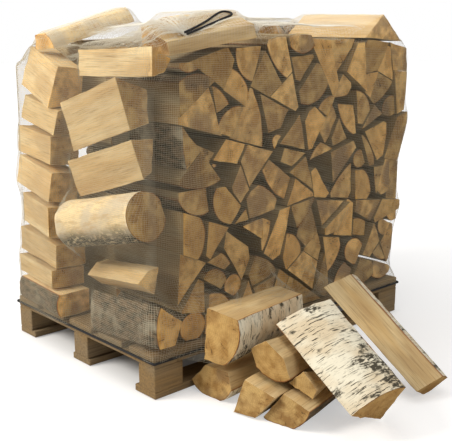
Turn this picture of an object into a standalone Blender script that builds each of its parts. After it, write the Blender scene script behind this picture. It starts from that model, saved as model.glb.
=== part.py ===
"""A pile of birch firewood: split logs packed in a net on a wooden pallet, with loose logs at its foot.

Units are metres and +Z is up. Places are given from the pallet's near corner: X runs along its long side,
Y across it.
The frame's origin is the middle of the pallet on the ground.
"""

import math
import random

import bmesh
import bpy

# Pallet
PALLET_LENGTH = 1.2
PALLET_WIDTH = 0.8
GAP = 0.0004
FOOT_BOARD = (0.1, 0.022)
BLOCK = (0.11, 0.08, 0.076)
RIM_BOARD = (0.09, 0.018)
DECK_BOARD = (0.13, 0.02)
DECK_BOARDS = 5
DECK_TOP = FOOT_BOARD[1] + BLOCK[2] + RIM_BOARD[1] + DECK_BOARD[1] + 4 * GAP

# Stack of split logs
LOG_LENGTH = 0.385
FRONT_LEFT = 0.122
BACK_LEFT = 0.176
STACK_FLOOR = DECK_TOP + GAP
# The stack's right side and top, from its lower right corner to its upper left one, as (x, z)
FRONT_RIM = ((PALLET_LENGTH, STACK_FLOOR), (1.226, 0.4), (1.24, 1.035), (0.6, 1.075), (FRONT_LEFT, 1.005))
BACK_RIM = ((PALLET_LENGTH, STACK_FLOOR), (1.22, 0.4), (1.225, 1.06), (1.1, 1.12), (BACK_LEFT, 1.045))
END_STAGGER = 0.022
LOG_END_AREA = 0.0128
FRONT_BUNDLES = 5
BACK_BUNDLES = 5
FRONT_SEED = 21
BACK_SEED = 8
PRESS = 0.0015
BUNDLE_GAP = 0.0012
BARK_SHARE = 0.6

# Net and cords
NET_STRAND = 0.003
NET_OUT = (-0.062, -0.052, 1.247, 0.846)
NET_TOP = 1.168
NET_CELLS = (5, 4, 4)
HEM_RADIUS = 0.004
DRAWCORD_RADIUS = 0.0035
DRAWCORD_ROUTE = (
    (0.154, 0.026, 1.079),
    (0.184, 0.035, 1.0865),
    (0.216, 0.0455, 1.095),
    (0.249, 0.057, 1.104),
    (0.28, 0.07, 1.113),
    (0.31, 0.084, 1.1225),
    (0.338, 0.096, 1.131),
    (0.36, 0.1045, 1.137),
    (0.378, 0.1055, 1.14),
    (0.39, 0.097, 1.1385),
    (0.3905, 0.084, 1.134),
    (0.379, 0.074, 1.1285),
    (0.358, 0.068, 1.1235),
    (0.33, 0.061, 1.117),
    (0.3, 0.053, 1.1095),
    (0.27, 0.045, 1.1025),
    (0.24, 0.037, 1.095),
    (0.21, 0.029, 1.088),
    (0.18, 0.021, 1.081),
    (0.152, 0.014, 1.0745),
)

# Colours, as red, green, blue and roughness
SPLIT_WOOD = (0.72, 0.52, 0.3, 0.75)
BIRCH_BARK = (0.8, 0.76, 0.68, 0.6)
DARK_BARK = (0.2, 0.17, 0.13, 0.85)
PALLET_WOOD = (0.42, 0.31, 0.19, 0.8)
NET_PLASTIC = (0.75, 0.72, 0.64, 0.45)
BLACK_CORD = (0.02, 0.02, 0.02, 0.6)

# A corner of a log's end is (across, up, rise of the bark's arc to the next corner), with no rise for a split face.
# Each log in a list: name, corners, middle of its near end, heading, pitch, roll, length.
# A log points along Y at heading 0.
CORNER_LOGS = (
    ("corner_log_1", ((-0.033, -0.054, 0.014), (-0.042, 0.0725, 0), (0.045, 0.026, 0), (0.028, -0.045, 0)),
     (0.042, -0.0227, 0.2155), 1, -4.2, 10.5, 0.335),
    ("corner_log_2", ((-0.041, -0.015, 0), (-0.006, 0.025, 0), (0.028, 0.036, 0), (0.017, -0.045, 0)),
     (0.038, 0.0625, 0.359), -5.5, -8.5, 9.7, 0.325),
    ("corner_log_3",
     ((-0.042, -0.0667, 0.02), (-0.0423, 0.084, 0.006), (0.0325, 0.049, 0), (0.052, -0.0645, 0)),
     (0.0637, 0.0678, 0.542), 3.6, -12.5, 0.3, 0.365),
    ("corner_log_4", ((-0.021, -0.0635, 0), (-0.039, 0.057, 0), (0.044, 0.0527, 0), (0.015, -0.044, 0)),
     (0.042, 0.0787, 0.7226), 1.3, -16.9, 0.2, 0.345),
    ("corner_log_5", ((-0.032, -0.076, 0), (-0.055, 0.081, 0), (0.0505, 0.043, 0), (0.0366, -0.057, 0)),
     (0.0454, 0.1257, 0.8742), -1, -17.1, 3.2, 0.325),
    ("corner_log_6", ((-0.027, -0.035, 0), (-0.031, 0.0445, 0), (0.0385, 0.017, 0), (0.0186, -0.0205, 0)),
     (0.0306, -0.0134, 0.9941), 0.8, -2.3, 4.5, 0.355),
)
FAR_LOGS = (
    ("side_log_1", ((-0.0617, -0.0427, 0.012), (-0.0616, 0.036, 0), (0.05, 0.04, 0), (0.05, -0.04, 0)),
     (0.0397, 0.4771, 0.1825), -4.4, 0, 0, 0.29),
    ("side_log_2", ((-0.0698, -0.036, 0), (-0.0697, 0.0265, 0), (0.05, 0.025, 0), (0.05, -0.038, 0)),
     (0.0505, 0.5253, 0.2653), -7.7, -0.4, -0.1, 0.282),
    ("side_log_3", ((-0.0598, -0.034, 0), (-0.0575, 0.048, 0), (0.05, 0.055, 0), (0.05, -0.035, 0)),
     (0.0534, 0.5166, 0.3327), -6.3, 2.2, -0.1, 0.29),
    ("side_log_4", ((-0.0692, -0.061, 0), (-0.068, 0.041, 0), (0.0546, 0.04, 0), (0.0546, -0.072, 0)),
     (0.0448, 0.5173, 0.4691), -13.6, 0.5, -0.1, 0.289),
    ("side_log_5", ((-0.0554, -0.034, 0), (-0.0455, 0.066, 0), (0.05, 0.062, 0), (0.05, -0.042, 0)),
     (0.041, 0.528, 0.5591), -8.2, 6, 0.5, 0.28),
    ("side_log_6", ((-0.0519, -0.044, 0), (-0.0485, 0.049, 0), (0.05, 0.044, 0), (0.05, -0.055, 0)),
     (0.0484, 0.5261, 0.6951), -8.2, 2.4, 0.5, 0.28),
    ("side_log_7", ((-0.0565, -0.048, 0), (-0.042, 0.031, 0), (0.05, 0.035, 0), (0.05, -0.048, 0)),
     (0.0534, 0.4957, 0.7976), -8.4, 7, 0.4, 0.28),
    ("side_log_8", ((-0.0633, -0.0697, 0), (-0.0362, 0.0678, 0), (0.05, 0.06, 0), (0.0492, -0.06, 0)),
     (0.059, 0.5074, 0.9035), -13.2, 11.6, 2.1, 0.29),
)
TOP_LOGS = (
    ("top_log_1", ((-0.06, -0.026, 0), (-0.035, 0.024, 0), (0.03, 0.03, 0.008), (0.06, -0.02, 0)),
     (0.055, 0.64, 1.043), -88, 15, 0, 0.345),
    ("top_log_2", ((-0.062, -0.034, 0), (-0.05, 0.045, 0), (0.06, 0.004, 0), (0.066, -0.036, 0)),
     (0.075, 0.07, 1.05), -90, 8, 0, 0.345),
    ("top_log_3", ((-0.115, -0.033, 0), (-0.01, 0.048, 0), (0.105, -0.047, 0)),
     (1.075, 0.012, 1.089), 2, 0, 0, 0.37),
    ("top_log_4", ((-0.065, -0.022, 0), (-0.04, 0.018, 0.008), (0.045, 0.02, 0), (0.075, -0.022, 0)),
     (0.52, 0.56, 1.101), -78, 4.6, 0, 0.37),
)
# A loose log's row ends with how much its far end is narrower and lower than its near one.
LOOSE_LOGS = (
    ("loose_log_1",
     ((-0.1, -0.018, 0.014), (0.03, -0.047, 0.006), (0.07, -0.004, 0), (0.057, 0.05, 0), (-0.04, 0.047, 0)),
     (0.139, -0.113, 0.0505), -87, 0, 0, 0.33, (0.97, 0.97)),
    ("loose_log_2", ((-0.072, -0.058, 0), (0.006, -0.052, 0), (0.074, 0.028, 0), (-0.03, 0.055, 0)),
     (0.128, -0.29, 0.0595), -80, 0, 0, 0.33, (0.97, 0.97)),
    ("loose_log_3", ((-0.092, -0.06, 0.006), (0.024, -0.0565, 0.02), (0.062, 0.001, 0), (-0.024, 0.031, 0)),
     (0.168, -0.398, 0.0665), -80, 0, 0, 0.28, (0.9, 0.75)),
    ("loose_log_4",
     ((-0.064, 0.031, 0), (-0.048, -0.0137, 0.006), (0.013, -0.045, 0.008),
      (0.073, -0.028, 0), (0.049, 0.028, 0), (-0.0135, 0.067, 0)),
     (0.176, -0.304, 0.1605), -81, -1, 0, 0.33, (0.85, 0.72)),
    ("loose_log_5",
     ((-0.066, 0.084, 0), (0.0436, 0.07, 0), (0.051, 0.022, 0),
      (0.041, -0.019, 0), (-0.003, -0.079, 0), (-0.075, -0.075, 0)),
     (0.118, -0.182, 0.2125), -79, -2, 0, 0.36, (0.82, 0.9)),
    ("loose_log_6", ((-0.0997, 0.0371, 0.036), (0.0949, 0.0341, 0), (0.047, -0.1, 0)),
     (0.3159, -0.5793, 0.0779), -4.7, 31.5, -14.3, 0.35, (1.035, 0.55)),
    ("loose_log_7",
     ((-0.0724, -0.0166, 0), (0.0432, 0.03, 0), (0.0675, 0.0031, 0), (0.03, -0.028, 0), (-0.0079, -0.0533, 0)),
     (0.6341, -0.5539, 0.0465), -4.7, 30, 4.6, 0.454, (1.124, 1.019)),
    ("loose_log_8", ((-0.045, -0.008, 0), (0.035, -0.035, 0), (0.046, -0.006, 0), (0.0, 0.036, 0)),
     (0.207, -0.405, 0.1235), -80, -4, 0, 0.08, (0.9, 0.5)),
)


def clear_scene():
    for old in list(bpy.data.objects):
        bpy.data.objects.remove(old, do_unlink=True)


def make_material(name, colour):
    material = bpy.data.materials.new(name)
    material.use_nodes = True
    shader = material.node_tree.nodes["Principled BSDF"]
    shader.inputs["Base Color"].default_value = (*colour[:3], 1)
    shader.inputs["Roughness"].default_value = colour[3]
    shader.inputs["Metallic"].default_value = 0
    return material


def add_object(name, data, material, place):
    thing = bpy.data.objects.new(name, data)
    bpy.context.scene.collection.objects.link(thing)
    thing.location = place
    thing.data.materials.append(material)
    return thing


def area_of(polygon):
    ahead = polygon[1:] + polygon[:1]
    return sum(a[0] * b[1] - b[0] * a[1] for a, b in zip(polygon, ahead)) / 2


def middle_of(polygon):
    return tuple(sum(corner[axis] for corner in polygon) / len(polygon) for axis in (0, 1))


def girth_of(polygon):
    return sum(math.dist(a, b) for a, b in zip(polygon, polygon[1:] + polygon[:1]))


def keep_side(polygon, point, normal):
    """The part of a convex polygon that lies on the side of a line to which its normal points."""
    kept = []
    for a, b in zip(polygon, polygon[1:] + polygon[:1]):
        height_a = (a[0] - point[0]) * normal[0] + (a[1] - point[1]) * normal[1]
        height_b = (b[0] - point[0]) * normal[0] + (b[1] - point[1]) * normal[1]
        if height_a >= 0:
            kept.append(a)
        if (height_a > 0 > height_b) or (height_a < 0 < height_b):
            share = height_a / (height_a - height_b)
            kept.append((a[0] + (b[0] - a[0]) * share, a[1] + (b[1] - a[1]) * share))
    return kept


def inward(a, b):
    """The unit normal of side a to b of an anticlockwise polygon, pointing into it."""
    length = math.dist(a, b)
    return (a[1] - b[1]) / length, (b[0] - a[0]) / length


def moved_sides(polygon, inset):
    """The sides of a convex polygon, each moved inwards by inset, as lines with an inward normal."""
    lines = []
    for a, b in zip(polygon, polygon[1:] + polygon[:1]):
        normal = inward(a, b)
        lines.append(((a[0] + normal[0] * inset, a[1] + normal[1] * inset), normal))
    return lines


def grown(polygon, amount):
    """A convex polygon with each side moved outwards by amount, cut from a square around it."""
    middle = middle_of(polygon)
    reach = 1.0
    square = [(middle[0] + x * reach, middle[1] + y * reach) for x, y in ((-1, -1), (1, -1), (1, 1), (-1, 1))]
    for point, normal in moved_sides(polygon, -amount):
        square = keep_side(square, point, normal)
    return square


def cut_in_two(polygon, rng):
    """Splits a convex polygon across its long way, at a chance slant, into two parts that aren't slivers."""
    pairs = [(math.dist(a, b), a, b) for a in polygon for b in polygon]
    _, start, end = max(pairs)
    long_way = math.atan2(end[1] - start[1], end[0] - start[0])
    best = None
    for _ in range(6):
        slant = long_way + math.radians(rng.uniform(-34, 34))
        normal = (math.cos(slant), math.sin(slant))
        middle = middle_of(polygon)
        shift = rng.uniform(-0.1, 0.1) * math.dist(start, end)
        point = (middle[0] + normal[0] * shift, middle[1] + normal[1] * shift)
        one = keep_side(polygon, point, normal)
        other = keep_side(polygon, point, (-normal[0], -normal[1]))
        stoutness = min(area_of(part) / girth_of(part) ** 2 for part in (one, other))
        if best is None or stoutness > best[0]:
            best = (stoutness, one, other)
        if stoutness > 0.043:
            break
    return best[1:]


def share_out(polygon, count, rng):
    """Cuts a polygon into a number of parts of like area."""
    parts = [polygon]
    while len(parts) < count:
        parts.sort(key=area_of)
        parts += cut_in_two(parts.pop(), rng)
    return parts


def log_ends(polygon, rng):
    """Cuts a bundle's outline into the ends of its logs."""
    parts, waiting = [], [polygon]
    while waiting:
        part = waiting.pop()
        if area_of(part) < LOG_END_AREA * rng.uniform(0.8, 1.45):
            parts.append(part)
        else:
            waiting += cut_in_two(part, rng)
    return parts


def with_bark(polygon, side, depth):
    """Corners of a log's end with one side turned into the arc of its bark, inside the polygon."""
    count = len(polygon)
    before, start = polygon[side - 1], polygon[side]
    end, after = polygon[(side + 1) % count], polygon[(side + 2) % count]
    back = min(depth, 0.45 * math.dist(before, start)) / math.dist(before, start)
    on = min(depth, 0.45 * math.dist(end, after)) / math.dist(end, after)
    first = (start[0] + (before[0] - start[0]) * back, start[1] + (before[1] - start[1]) * back)
    last = (end[0] + (after[0] - end[0]) * on, end[1] + (after[1] - end[1]) * on)
    normal = inward(first, last)
    rise = min(-depth_of(corner, first, normal) for corner in (start, end))
    corners = [(*first, rise), (*last, 0)]
    corners += [(*polygon[(side + 2 + k) % count], 0) for k in range(count - 2)]
    return corners


def depth_of(point, start, normal):
    """How far a point lies from a line, along the line's normal."""
    return (point[0] - start[0]) * normal[0] + (point[1] - start[1]) * normal[1]


def weathered(polygon, outer, rng):
    """A log's end at the stack's outside, its outer side drawn in and tilted by chance."""
    for (a, b) in outer:
        normal = inward(a, b)
        reach = min(depth_of(point, a, normal) for point in polygon)
        if reach < 0.002:
            tilt = math.radians(rng.uniform(-12, 12))
            turned = (
                normal[0] * math.cos(tilt) - normal[1] * math.sin(tilt),
                normal[0] * math.sin(tilt) + normal[1] * math.cos(tilt),
            )
            middle = middle_of([point for point in polygon if depth_of(point, a, normal) < 0.03])
            inset = rng.uniform(0.0, 0.02)
            within = (middle[0] + normal[0] * inset, middle[1] + normal[1] * inset)
            polygon = keep_side(polygon, within, turned)
    return polygon


def overlapping(one, other):
    """Whether two logs' ends press into each other over more than a point."""
    shared = one
    for point, normal in moved_sides(other, 0):
        shared = keep_side(shared, point, normal)
        if len(shared) < 3:
            return False
    return area_of(shared) > 3e-6


def apart(bundle):
    """The places in a bundle of the logs that nothing presses against the first one."""
    ends = [rounded(corners, 2) for corners, _, _ in bundle]
    reached, waiting = {0}, [0]
    while waiting:
        here = waiting.pop()
        found = [k for k in range(len(ends)) if k not in reached and overlapping(ends[here], ends[k])]
        reached.update(found)
        waiting += found
    return [k for k in range(len(ends)) if k not in reached]


def stack_half(left, rim, bundles, rng):
    """The logs of one half of the stack, as a list of bundles, each a list of (corners, end step, length step)."""
    result = []
    outer = list(zip(rim, rim[1:]))
    for region in share_out([(left, STACK_FLOOR), *rim], bundles, rng):
        bundle, plain = [], []
        for end in log_ends(region, rng):
            end = weathered(grown(end, PRESS * rng.uniform(0.7, 1.7)), outer, rng)
            for point, normal in moved_sides(region, BUNDLE_GAP * rng.uniform(1, 2.5)):
                end = keep_side(end, point, normal)
            sides = [math.dist(a, b) for a, b in zip(end, end[1:] + end[:1])]
            side = sides.index(max(sides))
            if rng.random() < 0.35:
                side = rng.randrange(len(end))
            plain.append([(*corner, 0) for corner in end])
            corners = plain[-1]
            if rng.random() < BARK_SHARE:
                corners = with_bark(end, side, rng.uniform(0.018, 0.034))
            bundle.append((corners, rng.uniform(0, END_STAGGER), rng.uniform(0, END_STAGGER)))
        for _ in bundle:
            for k in apart(bundle):
                bundle[k] = (plain[k], *bundle[k][1:])
            for k in range(len(bundle)):
                if apart(bundle) and bundle[k][0] is not plain[k]:
                    bundle[k] = (plain[k], *bundle[k][1:])
                    break
        result.append(bundle)
    return result


def rounded(corners, steps):
    """The points of a log's end, with each bark side as an arc of that many steps."""
    points = []
    for k, (x, z, rise) in enumerate(corners):
        points.append((x, z))
        if rise <= 0:
            continue
        end = corners[(k + 1) % len(corners)]
        chord = math.dist((x, z), end[:2])
        normal = inward((x, z), end[:2])
        sign = -1 if area_of([corner[:2] for corner in corners]) > 0 else 1
        for step in range(1, steps):
            along = step / steps
            lift = sign * 4 * rise * along * (1 - along)
            points.append((
                x + (end[0] - x) * along + normal[0] * lift,
                z + (end[1] - z) * along + normal[1] * lift,
            ))
        assert chord > 0
    return points


def log_mesh(name, corners, length, arc_steps, start=0.0, far_scale=(1, 1)):
    """A log along +Y: its end's outline as a face, extruded by its length, with a far end of its own size."""
    shape = bmesh.new()
    points = [shape.verts.new((x, start, z)) for x, z in rounded(corners, arc_steps)]
    end = shape.faces.new(points)
    sides = bmesh.ops.extrude_face_region(shape, geom=[end])
    far = [part for part in sides["geom"] if isinstance(part, bmesh.types.BMVert)]
    bmesh.ops.translate(shape, vec=(0, length, 0), verts=far)
    bmesh.ops.scale(shape, vec=(far_scale[0], 1, far_scale[1]), verts=far)
    bmesh.ops.recalc_face_normals(shape, faces=shape.faces)
    mesh = bpy.data.meshes.new(name)
    shape.to_mesh(mesh)
    shape.free()
    return mesh


def placed_log(row, material):
    """A log that lies where its row says."""
    name, corners, near_end, heading, pitch, roll, length = row[:7]
    far_scale = row[7] if len(row) > 7 else (1, 1)
    log = add_object(name, log_mesh(name, corners, length, 4, far_scale=far_scale), material, near_end)
    log.rotation_mode = "YXZ"
    log.rotation_euler = (math.radians(pitch), math.radians(roll), math.radians(heading))
    return log


def bundle_of_logs(name, logs, near, material):
    """Logs pressed side by side into one solid by a Boolean union."""
    whole = None
    others = bpy.data.collections.new(name)
    for k, (corners, end_step, length_step) in enumerate(logs):
        start = near + end_step
        length = LOG_LENGTH - end_step - length_step
        log = add_object(f"{name}_{k}", log_mesh(name, corners, length, 2, start), material, (0, 0, 0))
        if whole is None:
            whole = log
        else:
            others.objects.link(log)
    join = whole.modifiers.new("pressed together", "BOOLEAN")
    join.operation = "UNION"
    join.solver = "EXACT"
    join.operand_type = "COLLECTION"
    join.collection = others
    bpy.context.view_layer.update()
    joined = bpy.data.meshes.new_from_object(whole.evaluated_get(bpy.context.evaluated_depsgraph_get()))
    for log in [whole, *others.objects]:
        bpy.data.objects.remove(log, do_unlink=True)
    bpy.data.collections.remove(others)
    joined.materials.clear()
    return add_object(name, joined, material, (0, 0, 0))


def build_stack(material):
    """Both halves of the stack, front and back, as bundles of logs that lie along Y."""
    halves = (
        ("front", FRONT_LEFT, FRONT_RIM, FRONT_BUNDLES, FRONT_SEED, 0.0),
        ("back", BACK_LEFT, BACK_RIM, BACK_BUNDLES, BACK_SEED, PALLET_WIDTH - LOG_LENGTH),
    )
    made = []
    for half, left, rim, bundles, seed, near in halves:
        rng = random.Random(seed)
        for k, logs in enumerate(stack_half(left, rim, bundles, rng), 1):
            made.append(bundle_of_logs(f"packed_logs_{half}_{k}", logs, near, material))
    return made


def board(name, size, middle, material):
    """A sawn board or block of a pallet, its edges broken a little."""
    shape = bmesh.new()
    bmesh.ops.create_cube(shape, size=1)
    bmesh.ops.scale(shape, vec=size, verts=shape.verts)
    mesh = bpy.data.meshes.new(name)
    shape.to_mesh(mesh)
    shape.free()
    return add_object(name, mesh, material, middle)


def spread(count, first, last):
    return [first + (last - first) * k / (count - 1) for k in range(count)]


def build_pallet(material):
    """Foot boards and deck boards run along X, with blocks between and a rim of boards on the blocks."""
    made = []
    rows = spread(3, FOOT_BOARD[0] / 2, PALLET_WIDTH - FOOT_BOARD[0] / 2)
    columns = spread(3, BLOCK[0] / 2, PALLET_LENGTH - BLOCK[0] / 2)
    block_floor = FOOT_BOARD[1] + GAP
    rim_floor = block_floor + BLOCK[2] + GAP
    deck_floor = rim_floor + RIM_BOARD[1] + GAP
    for k, y in enumerate(rows, 1):
        size = (PALLET_LENGTH, FOOT_BOARD[0], FOOT_BOARD[1])
        place = (PALLET_LENGTH / 2, y, FOOT_BOARD[1] / 2)
        made.append(board(f"pallet_foot_board_{k}", size, place, material))
    for k, y in enumerate(spread(3, BLOCK[1] / 2, PALLET_WIDTH - BLOCK[1] / 2)):
        for j, x in enumerate(columns, 1):
            place = (x, y, block_floor + BLOCK[2] / 2)
            made.append(board(f"pallet_block_{3 * k + j}", BLOCK, place, material))
    rim_middle = rim_floor + RIM_BOARD[1] / 2
    for side, x in (("left", RIM_BOARD[0] / 2), ("right", PALLET_LENGTH - RIM_BOARD[0] / 2)):
        size = (RIM_BOARD[0], PALLET_WIDTH, RIM_BOARD[1])
        made.append(board(f"pallet_rim_{side}", size, (x, PALLET_WIDTH / 2, rim_middle), material))
    rim_length = PALLET_LENGTH - 2 * RIM_BOARD[0] - 2 * GAP
    for side, y in (("front", RIM_BOARD[0] / 2), ("back", PALLET_WIDTH - RIM_BOARD[0] / 2)):
        size = (rim_length, RIM_BOARD[0], RIM_BOARD[1])
        made.append(board(f"pallet_rim_{side}", size, (PALLET_LENGTH / 2, y, rim_middle), material))
    for k, y in enumerate(spread(DECK_BOARDS, DECK_BOARD[0] / 2, PALLET_WIDTH - DECK_BOARD[0] / 2), 1):
        size = (PALLET_LENGTH, DECK_BOARD[0], DECK_BOARD[1])
        place = (PALLET_LENGTH / 2, y, deck_floor + DECK_BOARD[1] / 2)
        made.append(board(f"pallet_deck_board_{k}", size, place, material))
    return made


def build_net(material):
    """The net as a wide-meshed cage over the stack, open below, of strands as thick as its cords."""
    left, front, right, back = NET_OUT
    floor = DECK_TOP + 0.004
    shape = bmesh.new()
    bmesh.ops.create_cube(shape, size=1)
    bmesh.ops.scale(shape, vec=(right - left, back - front, NET_TOP - floor), verts=shape.verts)
    middle = ((left + right) / 2, (front + back) / 2, (NET_TOP + floor) / 2)
    bmesh.ops.translate(shape, vec=middle, verts=shape.verts)
    below = [face for face in shape.faces if face.normal.z < -0.5]
    bmesh.ops.delete(shape, geom=below, context="FACES_ONLY")
    for axis, cells in enumerate(NET_CELLS):
        low = (left, front, floor)[axis]
        high = (right, back, NET_TOP)[axis]
        for k in range(1, cells):
            point = [0.0, 0.0, 0.0]
            normal = [0.0, 0.0, 0.0]
            point[axis] = low + (high - low) * k / cells
            normal[axis] = 1.0
            geometry = shape.verts[:] + shape.edges[:] + shape.faces[:]
            bmesh.ops.bisect_plane(shape, geom=geometry, plane_co=point, plane_no=normal)
    mesh = bpy.data.meshes.new("net")
    shape.to_mesh(mesh)
    shape.free()
    net = add_object("net", mesh, material, (0, 0, 0))
    strands = net.modifiers.new("strands", "WIREFRAME")
    strands.thickness = NET_STRAND
    strands.use_even_offset = False
    strands.use_boundary = True
    strands.use_replace = True
    return net


def cord(name, route, radius, closed, material):
    """A round cord along a route of points."""
    curve = bpy.data.curves.new(name, "CURVE")
    curve.dimensions = "3D"
    curve.bevel_depth = radius
    curve.bevel_resolution = 2
    curve.use_fill_caps = not closed
    line = curve.splines.new("POLY")
    line.points.add(len(route) - 1)
    for point, place in zip(line.points, route):
        point.co = (*place, 1)
    line.use_cyclic_u = closed
    return add_object(name, curve, material, (0, 0, 0))


def smooth_route(points, count):
    """Points along a smooth curve through the given ones."""
    result = []
    last = len(points) - 1
    for step in range(count):
        place = last * step / (count - 1)
        k = min(int(place), last - 1)
        t = place - k
        a, b, c, d = (points[max(0, min(last, k + j))] for j in (-1, 0, 1, 2))
        result.append(tuple(
            0.5 * (2 * q + (r - p) * t + (2 * p - 5 * q + 4 * r - s) * t**2 + (3 * q - p - 3 * r + s) * t**3)
            for p, q, r, s in zip(a, b, c, d)
        ))
    return result


def hem_route():
    """A rounded rectangle around the pallet, at the joint of its rim and deck."""
    height = FOOT_BOARD[1] + BLOCK[2] + RIM_BOARD[1] + 3 * GAP
    out = HEM_RADIUS + 0.0015
    bend = out + GAP
    corners = (
        (PALLET_LENGTH + out - bend, PALLET_WIDTH + out - bend, 0),
        (-out + bend, PALLET_WIDTH + out - bend, 90),
        (-out + bend, -out + bend, 180),
        (PALLET_LENGTH + out - bend, -out + bend, 270),
    )
    route = []
    for x, y, first in corners:
        for turn in (0, 30, 60, 90):
            angle = math.radians(first + turn)
            route.append((x + bend * math.cos(angle), y + bend * math.sin(angle), height))
    return route


def main():
    clear_scene()
    split_wood = make_material("split_wood", SPLIT_WOOD)
    birch_bark = make_material("birch_bark", BIRCH_BARK)
    dark_bark = make_material("dark_bark", DARK_BARK)
    pallet_wood = make_material("pallet_wood", PALLET_WOOD)
    net_plastic = make_material("net_plastic", NET_PLASTIC)
    black_cord = make_material("black_cord", BLACK_CORD)
    made = build_pallet(pallet_wood) + build_stack(split_wood)
    barked = {"loose_log_6": birch_bark, "corner_log_3": birch_bark, "corner_log_1": dark_bark}
    for row in CORNER_LOGS + FAR_LOGS + TOP_LOGS + LOOSE_LOGS:
        made.append(placed_log(row, barked.get(row[0], split_wood)))
    made.append(build_net(net_plastic))
    made.append(cord("net_hem", hem_route(), HEM_RADIUS, True, black_cord))
    made.append(cord("drawcord", smooth_route(DRAWCORD_ROUTE, 44), DRAWCORD_RADIUS, False, black_cord))
    corner = bpy.data.objects.new("pallet_corner", None)
    bpy.context.scene.collection.objects.link(corner)
    corner.location = (-PALLET_LENGTH / 2, -PALLET_WIDTH / 2, 0)
    for thing in made:
        thing.parent = corner


main()
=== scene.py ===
import math
import random

import bmesh
import bpy
import numpy as np
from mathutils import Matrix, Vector
from mathutils.bvhtree import BVHTree


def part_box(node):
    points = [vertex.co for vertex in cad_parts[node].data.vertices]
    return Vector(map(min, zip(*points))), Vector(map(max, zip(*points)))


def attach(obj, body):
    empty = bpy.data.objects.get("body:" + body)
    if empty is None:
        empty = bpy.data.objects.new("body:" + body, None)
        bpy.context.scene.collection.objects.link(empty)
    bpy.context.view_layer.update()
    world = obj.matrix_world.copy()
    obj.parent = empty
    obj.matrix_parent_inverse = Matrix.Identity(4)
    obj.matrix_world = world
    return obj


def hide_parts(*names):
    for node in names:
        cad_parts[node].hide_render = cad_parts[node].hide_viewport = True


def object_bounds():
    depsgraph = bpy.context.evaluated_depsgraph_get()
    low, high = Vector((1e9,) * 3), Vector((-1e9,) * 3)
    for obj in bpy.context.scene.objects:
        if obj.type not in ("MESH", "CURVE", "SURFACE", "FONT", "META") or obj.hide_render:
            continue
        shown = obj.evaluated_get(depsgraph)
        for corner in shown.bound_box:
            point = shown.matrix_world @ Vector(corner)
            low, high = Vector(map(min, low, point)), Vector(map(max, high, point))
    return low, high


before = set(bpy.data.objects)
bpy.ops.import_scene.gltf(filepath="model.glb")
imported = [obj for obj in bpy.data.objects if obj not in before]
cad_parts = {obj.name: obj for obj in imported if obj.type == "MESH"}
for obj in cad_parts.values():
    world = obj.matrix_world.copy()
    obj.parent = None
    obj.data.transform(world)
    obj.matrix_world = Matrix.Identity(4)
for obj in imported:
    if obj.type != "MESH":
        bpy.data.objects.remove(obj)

CAD_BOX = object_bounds()

# Pallet
PALLET_LENGTH = 1.2
PALLET_WIDTH = 0.8
GAP = 0.0004
FOOT_BOARD = (0.1, 0.022)
BLOCK = (0.11, 0.08, 0.076)
RIM_BOARD = (0.09, 0.018)
DECK_BOARD = (0.13, 0.02)
DECK_TOP = FOOT_BOARD[1] + BLOCK[2] + RIM_BOARD[1] + DECK_BOARD[1] + 4 * GAP

# Stack of split logs
LOG_LENGTH = 0.385
FRONT_LEFT = 0.122
BACK_LEFT = 0.176
STACK_FLOOR = DECK_TOP + GAP
# Each half's right side and top, from its lower right corner to its upper left one, as (x, z)
FRONT_RIM = ((PALLET_LENGTH, STACK_FLOOR), (1.226, 0.4), (1.24, 1.035), (0.6, 1.075), (FRONT_LEFT, 1.005))
BACK_RIM = ((PALLET_LENGTH, STACK_FLOOR), (1.22, 0.4), (1.225, 1.06), (1.1, 1.12), (BACK_LEFT, 1.045))
END_STAGGER = 0.022
LOG_END_AREA = 0.0128
END_AREA_SPREAD = (0.8, 1.45)
SPLIT_SLANT = 34
STOUT_ENOUGH = 0.043
OUTER_TILT = 12
OUTER_INSET = 0.02
BUNDLES = 5
FRONT_SEED = 21
BACK_SEED = 8
PRESS = 0.0015
BUNDLE_GAP = 0.0012
BARK_SHARE = 0.6
BARK_DEPTH = (0.018, 0.034)
SHORT_SIDE_SHARE = 0.35

# Cords
HEM_RADIUS = 0.004
DRAWCORD_RADIUS = 0.0035
DRAWCORD_POINTS = 44
DRAWCORD_ROUTE = (
    (0.154, 0.026, 1.079), (0.184, 0.035, 1.0865), (0.216, 0.0455, 1.095), (0.249, 0.057, 1.104),
    (0.28, 0.07, 1.113), (0.31, 0.084, 1.1225), (0.338, 0.096, 1.131), (0.36, 0.1045, 1.137),
    (0.378, 0.1055, 1.14), (0.39, 0.097, 1.1385), (0.3905, 0.084, 1.134), (0.379, 0.074, 1.1285),
    (0.358, 0.068, 1.1235), (0.33, 0.061, 1.117), (0.3, 0.053, 1.1095), (0.27, 0.045, 1.1025),
    (0.24, 0.037, 1.095), (0.21, 0.029, 1.088), (0.18, 0.021, 1.081), (0.152, 0.014, 1.0745),
)

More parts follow.
